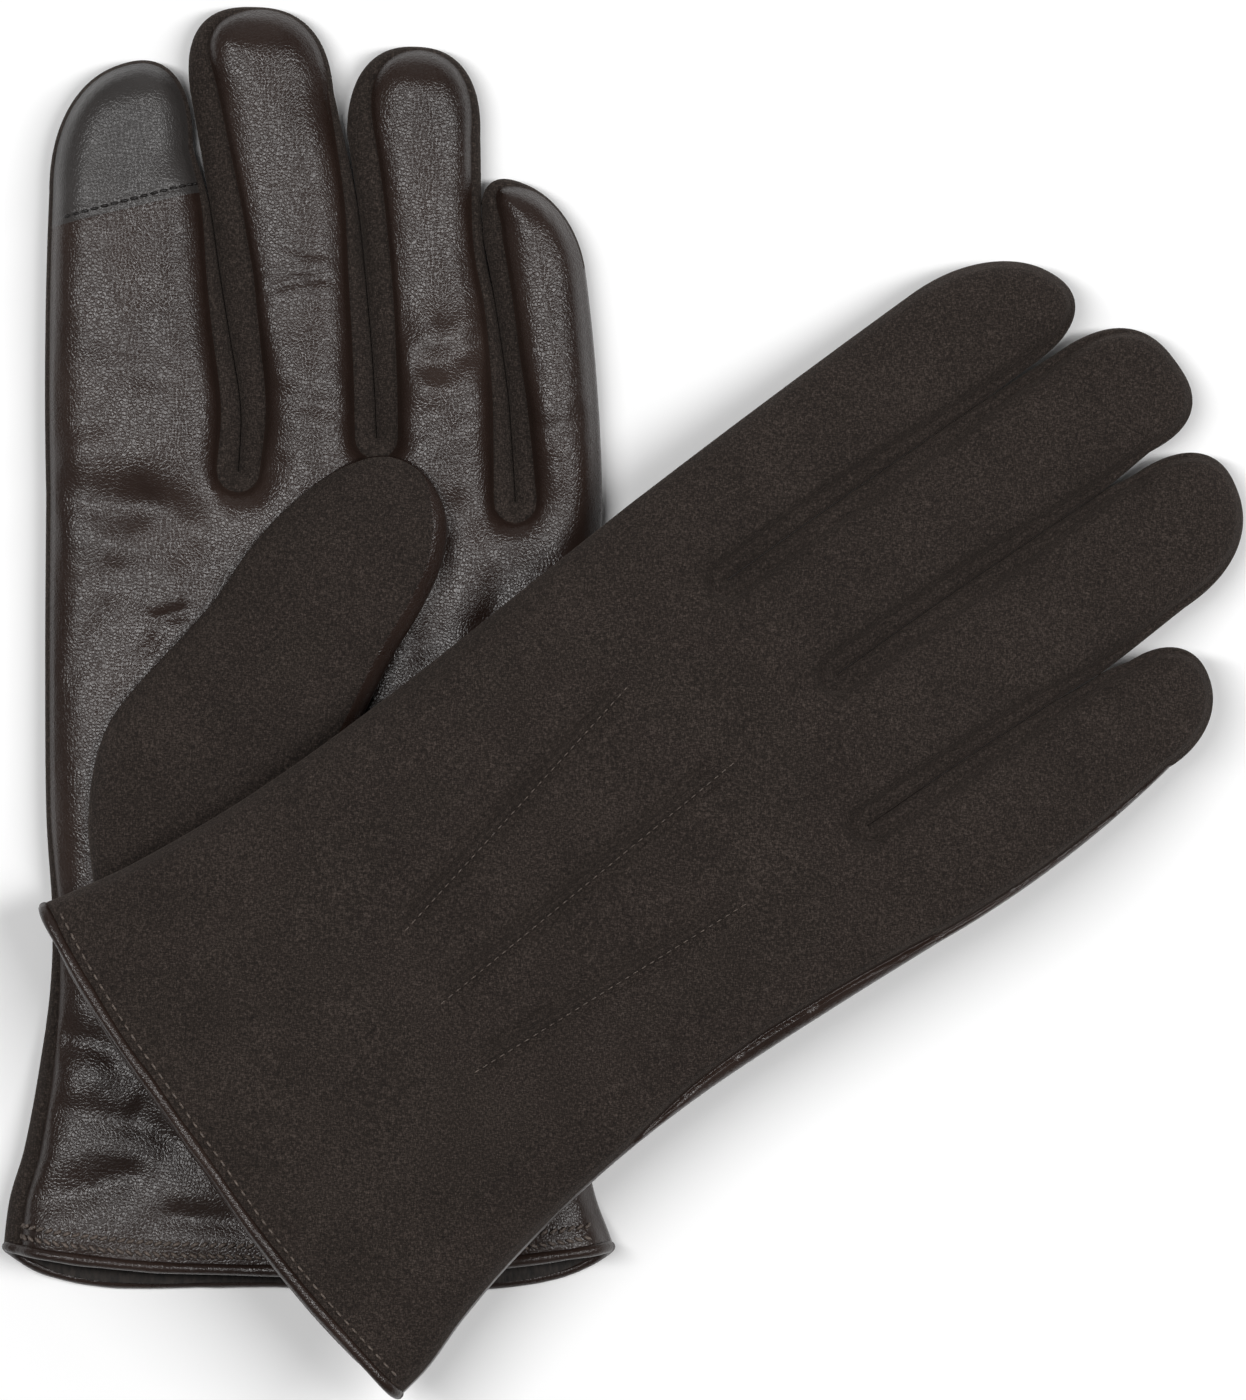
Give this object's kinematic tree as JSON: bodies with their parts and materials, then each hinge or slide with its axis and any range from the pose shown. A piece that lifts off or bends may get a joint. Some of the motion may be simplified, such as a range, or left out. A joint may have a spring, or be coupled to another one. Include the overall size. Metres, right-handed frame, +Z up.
{
  "type": "touchscreen gloves",
  "caption": "Pair of men's dress gloves with leather palms, wool backs, bound cuffs and grey touchscreen tips on the index fingers, one laid over the other.",
  "frame": {"origin": "middle of the pair's footprint on the table they lie on", "axes": "+Z up from the table, +Y towards the left glove's fingertips, +X towards the side the right glove points to"},
  "size_m": [0.2408, 0.2718, 0.034],
  "materials": {
    "brown_leather": "fine-grained nappa with a soft sheen",
    "brown_wool": "felted melton wool, matt",
    "grey_touch_leather": "smooth grey conductive leather",
    "brown_thread": "twisted polyester thread",
    "knit_lining": "fine knitted fleece"
  },
  "bodies": {
    "left_palm": {"left_palm_leather": "brown_leather", "left_back_wool": "brown_wool", "left_crotch_gussets": "brown_wool", "left_palm_lining": "knit_lining", "left_cuff_binding": "brown_leather", "left_hem_stitching": "brown_thread", "left_point_stitching": "brown_thread", "left_thumb_root_wool": "brown_wool"},
    "left_thumb": {"left_thumb_wool": "brown_wool", "left_thumb_leather": "brown_leather", "left_thumb_lining": "knit_lining"},
    "left_index": {"left_index_wool": "brown_wool", "left_index_gusset": "brown_wool", "left_index_lining": "knit_lining", "left_index_leather": "brown_leather", "left_index_touch_tip": "grey_touch_leather", "left_index_touch_stitching": "brown_thread"},
    "left_middle": {"left_middle_wool": "brown_wool", "left_middle_gussets": "brown_wool", "left_middle_lining": "knit_lining", "left_middle_leather": "brown_leather"},
    "left_ring": {"left_ring_wool": "brown_wool", "left_ring_gussets": "brown_wool", "left_ring_lining": "knit_lining", "left_ring_leather": "brown_leather"},
    "left_little": {"left_little_wool": "brown_wool", "left_little_gusset": "brown_wool", "left_little_lining": "knit_lining", "left_little_leather": "brown_leather"},
    "right_palm": {"right_palm_leather": "brown_leather", "right_back_wool": "brown_wool", "right_crotch_gussets": "brown_wool", "right_palm_lining": "knit_lining", "right_cuff_binding": "brown_leather", "right_hem_stitching": "brown_thread", "right_point_stitching": "brown_thread", "right_thumb_root_wool": "brown_wool"},
    "right_thumb": {"right_thumb_wool": "brown_wool", "right_thumb_leather": "brown_leather", "right_thumb_lining": "knit_lining"},
    "right_index": {"right_index_wool": "brown_wool", "right_index_gusset": "brown_wool", "right_index_lining": "knit_lining", "right_index_leather": "brown_leather", "right_index_touch_tip": "grey_touch_leather", "right_index_touch_stitching": "brown_thread"},
    "right_middle": {"right_middle_wool": "brown_wool", "right_middle_gussets": "brown_wool", "right_middle_lining": "knit_lining", "right_middle_leather": "brown_leather"},
    "right_ring": {"right_ring_wool": "brown_wool", "right_ring_gussets": "brown_wool", "right_ring_lining": "knit_lining", "right_ring_leather": "brown_leather"},
    "right_little": {"right_little_wool": "brown_wool", "right_little_gusset": "brown_wool", "right_little_lining": "knit_lining", "right_little_leather": "brown_leather"}
  },
  "joints": [
    {"name": "right_lift", "type": "slide", "parent": "left_palm", "child": "right_palm", "axis": [0, 0, 1], "range_m": [0, 0.15]},
    {"name": "left_index_curl", "type": "hinge", "parent": "left_palm", "child": "left_index", "pos_m": [-0.09309, 0.05111, 0.0115], "axis": [0.9992, 0.041, 0], "range_deg": [0, 75]},
    {"name": "left_middle_curl", "type": "hinge", "parent": "left_palm", "child": "left_middle", "pos_m": [-0.06207, 0.05952, 0.0115], "axis": [0.993, 0.1179, 0], "range_deg": [0, 75]},
    {"name": "left_ring_curl", "type": "hinge", "parent": "left_palm", "child": "left_ring", "pos_m": [-0.03532, 0.05956, 0.0115], "axis": [0.9955, 0.0944, 0], "range_deg": [0, 75]},
    {"name": "left_little_curl", "type": "hinge", "parent": "left_palm", "child": "left_little", "pos_m": [-0.01177, 0.04456, 0.0115], "axis": [0.993, 0.1182, 0], "range_deg": [0, 75]},
    {"name": "left_thumb_open", "type": "hinge", "parent": "left_palm", "child": "left_thumb", "pos_m": [-0.0797, -0.01463, 0.022], "axis": [0.8432, -0.5377, 0], "range_deg": [0, 50]},
    {"name": "right_index_curl", "type": "hinge", "parent": "right_palm", "child": "right_index", "pos_m": [0.01929, 0.03722, 0.0225], "axis": [-0.5878, 0.809, 0], "range_deg": [0, 60]},
    {"name": "right_middle_curl", "type": "hinge", "parent": "right_palm", "child": "right_middle", "pos_m": [0.03952, 0.01958, 0.0225], "axis": [-0.5757, 0.8177, 0], "range_deg": [0, 60]},
    {"name": "right_ring_curl", "type": "hinge", "parent": "right_palm", "child": "right_ring", "pos_m": [0.05471, -0.00303, 0.0225], "axis": [-0.5751, 0.8181, 0], "range_deg": [0, 60]},
    {"name": "right_little_curl", "type": "hinge", "parent": "right_palm", "child": "right_little", "pos_m": [0.06257, -0.03086, 0.0225], "axis": [-0.5765, 0.8171, 0], "range_deg": [0, 60]},
    {"name": "right_thumb_open", "type": "hinge", "parent": "right_palm", "child": "right_thumb", "pos_m": [-0.01175, -0.01747, 0.012], "axis": [-0.0606, 0.9982, 0], "range_deg": [0, 50]}
  ],
  "couplings": [
    {"joint": "left_thumb_open", "follows": "right_lift", "rad_per_m": 5.8},
    {"joint": "right_index_curl", "follows": "right_lift", "rad_per_m": 6.9},
    {"joint": "right_middle_curl", "follows": "right_lift", "rad_per_m": 6.9},
    {"joint": "right_ring_curl", "follows": "right_lift", "rad_per_m": 6.9},
    {"joint": "right_little_curl", "follows": "right_lift", "rad_per_m": 6.9},
    {"joint": "right_thumb_open", "follows": "right_lift", "rad_per_m": 5.8}
  ]
}
